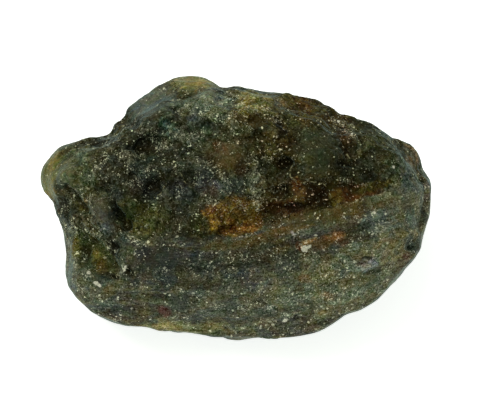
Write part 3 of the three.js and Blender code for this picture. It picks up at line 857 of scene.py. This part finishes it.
def ground_colour(graph, stone):
    """Charcoal, moss and olive in clouds a few millimetres wide, and stripes along the ribs."""
    broad = graph.noise(stone.place, size=4.0, detail=2.0)
    ground = graph.mix(graph.ramp(broad, 0.4, 0.6), linear(CHARCOAL), linear(MOSS))
    ground = graph.mix(graph.ramp(stone.middle, 0.5, 0.68, 0.0, 0.6), ground, linear(OLIVE))
    stripes = graph.noise(stone.along_ribs, size=0.8, roughness=0.6)
    ribs = graph.mix(graph.ramp(stripes, 0.42, 0.62), linear(VIOLET_GREY), linear(GREY_GREEN))
    return graph.mix(stone.grooved, ground, ribs)


def stains_and_painted_shade(graph, stone, colour):
    """The broad stains first, then the smooth places, the streaks, the trough and the small things. A
    few patches are painted shade in hollows, one a painted shadow and one a painted sheen.
    """
    fray = graph.ripple(stone.place, size=0.6, detail=4.0, roughness=0.75, amount=2.2)
    less_fray = graph.times(fray, LESS_FRAY)
    colour = paint(graph, colour, stone.cloudy, CLOUDS, fray)
    colour = paint(graph, colour, stone.nudged, GLASSY, less_fray)
    colour = paint(graph, colour, stone.streaky, STREAKS, fray)
    above_the_lip = graph.less(stone.grooved)
    colour = paint(graph, colour, stone.nudged, TROUGH, less_fray, TROUGH_EDGE, above_the_lip)
    return paint(graph, colour, stone.nudged, SPOTS, less_fray)


def fine_shade(graph, stone):
    """1 on the whole: each facet of the break has its own shade, and the ribs are brushed."""
    speckle = graph.times(graph.ramp(stone.facets[0], 0.0, 1.0, *SHADES["facets"]),
                          graph.ramp(stone.grain, 0.3, 0.7, *SHADES["grain"]))
    brushed = graph.noise(stone.along_ribs, size=0.22, roughness=0.7)
    brush = graph.times(graph.ramp(brushed, 0.3, 0.7, *SHADES["brushing"]),
                        graph.ramp(stone.grain, 0.3, 0.7, *SHADES["rib grain"]))
    calm = graph.times(stone.smooth, SMOOTH_CALM)
    fine = graph.blend(calm, graph.blend(stone.grooved, speckle, brush), 1.0)
    seams = graph.cells(stone.warped("seams"), size=0.8, feature="DISTANCE_TO_EDGE")["Distance"]
    seams = graph.ramp(seams, 0.0, 0.1, *SHADES["seams"])
    return graph.times(fine, graph.blend(stone.worn, seams, 1.0))


def painted_shade_and_broad_tone(graph, stone):
    """Painted shade in the hollows of the relief and painted light on its rises, darker still in the
    deepest hollows, and darks between the blocks, over broad darks and lights.
    """
    coarse = graph.blend(stone.grooved,
                         graph.ramp(stone.relief, -0.22, 0.12, *SHADES["painted shade and light of the break's relief"]),
                         graph.ramp(stone.relief, -0.25, 0.20, *SHADES["painted shade and light of the ribs' relief"]))
    coarse = graph.times(coarse, graph.ramp(stone.middle, 0.36, 0.64, *SHADES["clouds"]))
    coarse = graph.times(coarse, graph.ramp(stone.relief, -0.5, -0.22, *SHADES["painted shade of deep hollows"]))
    blocks = graph.cells(stone.warped("blocks"), size=1.1)["Distance"]
    blocks = graph.ramp(blocks, 0.0, 0.65, *SHADES["blocks"])
    return graph.times(coarse, graph.blend(stone.worn, blocks, 1.0))


def mottled(graph, stone, colour):
    """Leans of hue, and the fine and coarse shading, the coarse with painted shade in the relief's
    hollows and painted light on its rises.
    """
    lean = graph.ramp(graph.noise(stone.cloudy, 1.2, detail=2.0, roughness=0.5), 0.35, 0.65)
    tinge = graph.ramp(graph.noise(stone.cloudy, 0.5, detail=2.0, roughness=0.5), 0.35, 0.65)
    colour = graph.vector("MULTIPLY", colour, graph.mix(lean, WARM, COOL))
    colour = graph.vector("MULTIPLY", colour, graph.mix(tinge, LEAF, ROSE))
    # The fine mottling is partly grey, so that it changes the shade more than the hue.
    muted = graph.mix(MUTED, colour, graph.shade(colour))
    muted = graph.scaled(muted, graph.math("SUBTRACT", fine_shade(graph, stone), 1.0))
    colour = graph.vector("MAXIMUM", graph.vector("ADD", colour, muted), (BLACKEST,) * 3)
    return graph.scaled(colour, graph.times(painted_shade_and_broad_tone(graph, stone), GAIN))


def crowding(graph, stone):
    """How closely the crumbs lie, from 0 to about 1: in crusts and along the break's seams."""
    place = stone.warped("crust seams")
    seams = graph.cells(place, size=1.5, feature="DISTANCE_TO_EDGE")["Distance"]
    patchy = graph.ramp(graph.noise(stone.place, size=1.5), 0.42, 0.62)
    patchy = graph.times(patchy, graph.ramp(stone.u, 1.0, 8.0, 1.0, 0.35))
    crowd = graph.times(graph.ramp(seams, 0.25, 0.0, 0.0, 0.6), patchy)
    crowd = graph.math("MAXIMUM", crowd, graph.attribute("crust"))
    sown = graph.times(stone.grooved, graph.ramp(stone.u, -9.0, 8.0, 0.05, 0.4))
    sown = graph.times(sown, graph.ramp(stone.middle, 0.45, 0.62, 0.15, 1.5))
    crowd = graph.math("MAXIMUM", crowd, sown)
    crowd = graph.times(crowd, graph.less(stone.smooth))
    clumped = graph.noise(stone.crumbled, size=0.7, detail=2.0, roughness=0.6)
    clumped = graph.ramp(clumped, 0.4, 0.6, 0.3, 1.6)
    return graph.times(crowd, clumped)


def crumbed(graph, stone, colour):
    """Dust and pale crumbs, which take a little of the hue around them."""
    crowd = crowding(graph, stone)
    dust = graph.noise(stone.crumbled, size=0.16, detail=2.0, roughness=0.6)
    dust = graph.math("ADD", dust, graph.times(crowd, 0.1))
    colour = graph.mix(graph.ramp(dust, 0.6, 0.78, 0.0, 0.8), colour, linear(DUST))
    around = graph.scaled(colour, graph.math("DIVIDE", 1.0, graph.shade(colour)))
    pale = graph.vector("MULTIPLY", graph.mix(HUE_AROUND, WHITE, around), linear(PALE)[:3])
    jag = graph.scaled(graph.push(stone.place, size=0.1, detail=2.0), CRUMB_JAG)
    ragged = graph.vector("ADD", stone.crumbled, jag)
    for size, rare, crowded in CRUMBS:
        spots = graph.cells(ragged, size, distance="MANHATTAN")
        lots = graph.parts(spots["Color"])
        chosen = graph.math("LESS_THAN", lots[0], graph.ramp(crowd, 0.0, 1.0, rare, crowded))
        reach = graph.ramp(lots[1], 0.3, 1.0, *CRUMB_REACH)
        inside = graph.math("LESS_THAN", spots["Distance"], reach)
        bright = graph.times(graph.ramp(lots[2], 0.25, 1.0, *CRUMB_STRENGTH), chosen)
        colour = graph.mix(graph.times(bright, inside), colour, pale)
    return colour


def threaded(graph, stone, colour):
    """Thin pale lines, broken up by the grain."""
    broken = graph.times(graph.math("SUBTRACT", stone.grain, MIDDLE), THREAD_BREAKS)
    thread = graph.math("ADD", graph.attribute("thread"), broken)
    return graph.mix(graph.ramp(thread, 0.6, 1.0, 0.0, THREAD_STRENGTH), colour, linear(VEIN))


def fleck_and_painted_glints(graph, stone, colour):
    """The white fleck, and painted glints: white spots where flakes catch the light."""
    nearest = OVAL_REACH
    for _, u, v, half_u, half_v, turn in FLECKS_AND_PAINTED_GLINTS:
        nearest = graph.math(
            "MINIMUM", oval(graph, stone.crumbled, u, v, half_u, half_v, turn), nearest)
    fray = graph.ripple(stone.place, size=0.22, detail=3.0, roughness=0.7, amount=1.4)
    frayed = graph.math("ADD", nearest, fray)
    fleck_and_glint_colour = graph.mix(graph.ramp(stone.grain, 0.3, 0.6), linear(FLECK_AND_GLINT_GREY), linear(FLECK_AND_GLINT_WHITE))
    return graph.mix(graph.ramp(frayed, 1.2, 0.8), colour, fleck_and_glint_colour)


def gleaming(graph, stone, colour):
    """The stone's shader: flakes tilt the light each their own way."""
    bump = graph.add("Bump", None, {
        "Strength": BUMP, "Distance": BUMP_HEIGHT, "Height": stone.grain}).outputs[0]
    flake = graph.vector("SUBTRACT", graph.cells(stone.crumbled, size=0.2)["Color"], (MIDDLE,) * 3)
    tilt = graph.scaled(flake, graph.ramp(stone.smooth, 0.0, 1.0, *FLAKE_TILT))
    # The darkest places gleam brown, as glass with something dark behind it does.
    lit = graph.ramp(graph.shade(colour), 0.006, 0.035)
    edge = graph.add("LayerWeight", None, {"Blend": 0.5}).outputs["Facing"]
    return graph.add("BsdfPrincipled", None, {
        "Base Color": colour,
        "Roughness": graph.ramp(stone.facets[1], 0.0, 1.0, *GLOSS),
        "Normal": graph.vector("NORMALIZE", graph.vector("ADD", bump, tilt)),
        "IOR": REFRACTION,
        "Specular IOR Level": SPECULAR,
        "Specular Tint": graph.mix(lit, BROWN_GLEAM, WHITE),
        "Sheen Weight": graph.ramp(edge, 0.5, 0.95, *SHEEN),
        "Sheen Roughness": SHEEN_ROUGHNESS,
        "Sheen Tint": TEAL_SHEEN}).outputs[0]


def stone_material():
    material = bpy.data.materials.new("tanzanite")
    material.use_nodes = True
    graph = Graph(material.node_tree)
    stone = Surface(graph)
    colour = ground_colour(graph, stone)
    for layer in (stains_and_painted_shade, mottled, crumbed, threaded, fleck_and_painted_glints):
        colour = layer(graph, stone, colour)
    graph.add("OutputMaterial", None, {"Surface": gleaming(graph, stone, colour)})
    return material


# --- the studio ----------------------------------------------------------------------------------
def white_ground():
    half = GROUND_HALF
    mesh = bpy.data.meshes.new("ground")
    mesh.from_pydata(
        [(-half, -half, 0), (half, -half, 0), (half, half, 0), (-half, half, 0)], [], [(0, 1, 2, 3)])
    ground = bpy.data.objects.new("ground", mesh)
    bpy.context.scene.collection.objects.link(ground)
    material = bpy.data.materials.new("white_ground")
    material.use_nodes = True
    shader = material.node_tree.nodes["Principled BSDF"]
    shader.inputs["Base Color"].default_value = GROUND_COLOUR
    shader.inputs["Roughness"].default_value = 0.9
    shader.inputs["Emission Color"].default_value = GROUND_GLOW
    shader.inputs["Emission Strength"].default_value = GLOW_STRENGTH
    mesh.materials.append(material)
    ground.visible_glossy = False


def light_room():
    world = bpy.data.worlds.new("studio")
    world.use_nodes = True
    bpy.context.scene.world = world
    graph = Graph(world.node_tree)
    up = graph.add("SeparateXYZ", None, {
        0: graph.add("TexCoord").outputs["Generated"]}).outputs[2]
    sky = graph.mix(graph.ramp(up, -SKY_BAND, SKY_BAND), SKY_LOW, SKY_HIGH)
    background = graph.add("Background", None, {"Color": sky, "Strength": 1.0})
    graph.add("OutputWorld", None, {"Surface": background.outputs[0]})


def add_key_light():
    """A soft square light, above and to the left, behind the stone."""
    data = bpy.data.lights.new("key", "AREA")
    data.size = KEY_SIZE
    data.energy = KEY_POWER
    data.color = KEY_COLOUR
    light = bpy.data.objects.new("key", data)
    bpy.context.scene.collection.objects.link(light)
    towards = Vector(KEY_DIRECTION).normalized()
    light.location = towards * KEY_DISTANCE
    light.rotation_mode = "QUATERNION"
    light.rotation_quaternion = (-towards).to_track_quat("-Z", "Y")


def add_camera():
    data = bpy.data.cameras.new("camera")
    data.lens = LENS
    data.sensor_width = SENSOR
    data.clip_start = NEAREST
    data.clip_end = FARTHEST
    camera = bpy.data.objects.new("camera", data)
    bpy.context.scene.collection.objects.link(camera)
    aim = ORIGIN + (AIM[0] * U_AXIS + AIM[1] * V_AXIS) * MM
    place = Vector(aim + W_AXIS * CAMERA_DISTANCE)
    camera.matrix_world = Matrix.Translation(place) @ Matrix(AXES.T.tolist()).to_4x4()
    bpy.context.scene.camera = camera


# --- build ---------------------------------------------------------------------------------------
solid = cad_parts[NODE]
ORIGIN = outline_origin(corners_of(solid.data))
stone = refined_copy(solid)
carve(stone)
POINTS = in_outline_plane(corners_of(stone.data))
FACING = normals_of(stone.data) @ W_AXIS
stone.data.materials.clear()
stone.data.materials.append(stone_material())
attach(stone, "root")
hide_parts(NODE)

white_ground()
light_room()
add_key_light()
add_camera()
bpy.context.scene.view_settings.view_transform = "Standard"
